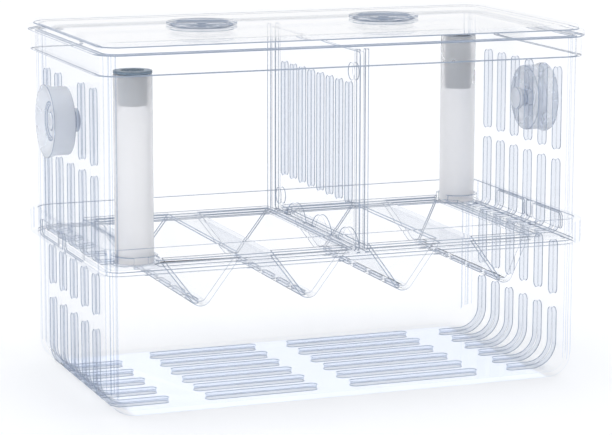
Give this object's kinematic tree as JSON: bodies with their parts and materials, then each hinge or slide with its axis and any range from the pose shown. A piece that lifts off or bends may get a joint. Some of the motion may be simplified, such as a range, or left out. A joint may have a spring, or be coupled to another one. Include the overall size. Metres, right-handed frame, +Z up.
{
  "type": "fish breeding box",
  "caption": "Clear two-storey breeding box: slotted tray below, box with divider and V-shaped trough trays above, lid with feed ports, float tubes and suction cups.",
  "frame": {"origin": "under the middle of the base, on the plane the lower box stands on", "axes": "+X along the box's length, towards the six-slot end; +Y towards the back; +Z up"},
  "size_m": [0.2142, 0.1108, 0.1438],
  "materials": {
    "lower_box": "clear moulded plastic",
    "upper_box": "clear moulded plastic",
    "v_tray_left": "clear moulded plastic",
    "v_tray_right": "clear moulded plastic",
    "divider": "clear moulded plastic",
    "lid": "clear moulded plastic",
    "feed_cap_left": "clear moulded plastic",
    "feed_cap_right": "clear moulded plastic",
    "float_tube_front_left": "frosted white plastic",
    "float_tube_back_right": "frosted white plastic",
    "float_plug_front_left": "grey-blue translucent plastic",
    "float_plug_back_right": "grey-blue translucent plastic",
    "suction_cup_left": "milky translucent silicone",
    "suction_cup_right": "milky translucent silicone"
  },
  "bodies": {
    "lower_box": {"lower_box": "lower_box"},
    "upper_box": {"upper_box": "upper_box"},
    "v_tray_left": {"v_tray_left": "v_tray_left"},
    "v_tray_right": {"v_tray_right": "v_tray_right"},
    "divider": {"divider": "divider"},
    "lid": {"lid": "lid"},
    "feed_cap_left": {"feed_cap_left": "feed_cap_left"},
    "feed_cap_right": {"feed_cap_right": "feed_cap_right"},
    "float_tube_front_left": {"float_tube_front_left": "float_tube_front_left"},
    "float_tube_back_right": {"float_tube_back_right": "float_tube_back_right"},
    "float_plug_front_left": {"float_plug_front_left": "float_plug_front_left"},
    "float_plug_back_right": {"float_plug_back_right": "float_plug_back_right"},
    "suction_cup_left": {"suction_cup_left": "suction_cup_left"},
    "suction_cup_right": {"suction_cup_right": "suction_cup_right"}
  },
  "joints": [
    {"name": "upper_box_lift", "type": "slide", "parent": "lower_box", "child": "upper_box", "axis": [0, 0, 1], "range_m": [0, 0.09]},
    {"name": "lid_lift", "type": "slide", "parent": "upper_box", "child": "lid", "axis": [0, 0, 1], "range_m": [0, 0.12]},
    {"name": "divider_lift", "type": "slide", "parent": "upper_box", "child": "divider", "axis": [0, 0, 1], "range_m": [0, 0.096]},
    {"name": "tube_lift_front_left", "type": "slide", "parent": "upper_box", "child": "float_tube_front_left", "axis": [0, 0, 1], "range_m": [0, 0.066]},
    {"name": "tube_lift_back_right", "type": "slide", "parent": "upper_box", "child": "float_tube_back_right", "axis": [0, 0, 1], "range_m": [0, 0.066]},
    {"name": "plug_lift_front_left", "type": "slide", "parent": "float_tube_front_left", "child": "float_plug_front_left", "axis": [0, 0, 1], "range_m": [0, 0.03]},
    {"name": "plug_lift_back_right", "type": "slide", "parent": "float_tube_back_right", "child": "float_plug_back_right", "axis": [0, 0, 1], "range_m": [0, 0.03]},
    {"name": "tray_lift_left", "type": "slide", "parent": "upper_box", "child": "v_tray_left", "axis": [0, 0, 1], "range_m": [0, 0.048]},
    {"name": "tray_lift_right", "type": "slide", "parent": "upper_box", "child": "v_tray_right", "axis": [0, 0, 1], "range_m": [0, 0.048]},
    {"name": "feed_cap_lift_left", "type": "slide", "parent": "lid", "child": "feed_cap_left", "axis": [0, 0, 1], "range_m": [0, 0.03]},
    {"name": "feed_cap_lift_right", "type": "slide", "parent": "lid", "child": "feed_cap_right", "axis": [0, 0, 1], "range_m": [0, 0.03]},
    {"name": "cup_turn_left", "type": "hinge", "parent": "upper_box", "child": "suction_cup_left", "pos_m": [-0.098, 0, 0.1072], "axis": [1, 0, 0], "continuous": true},
    {"name": "cup_turn_right", "type": "hinge", "parent": "upper_box", "child": "suction_cup_right", "pos_m": [0.098, 0, 0.1072], "axis": [1, 0, 0], "continuous": true}
  ],
  "couplings": [
    {"joint": "divider_lift", "follows": "lid_lift", "ratio": 0.8},
    {"joint": "tube_lift_front_left", "follows": "lid_lift", "ratio": 0.55},
    {"joint": "tube_lift_back_right", "follows": "lid_lift", "ratio": 0.55},
    {"joint": "plug_lift_front_left", "follows": "lid_lift", "ratio": 0.25},
    {"joint": "plug_lift_back_right", "follows": "lid_lift", "ratio": 0.25},
    {"joint": "tray_lift_left", "follows": "lid_lift", "ratio": 0.4},
    {"joint": "tray_lift_right", "follows": "lid_lift", "ratio": 0.4}
  ]
}
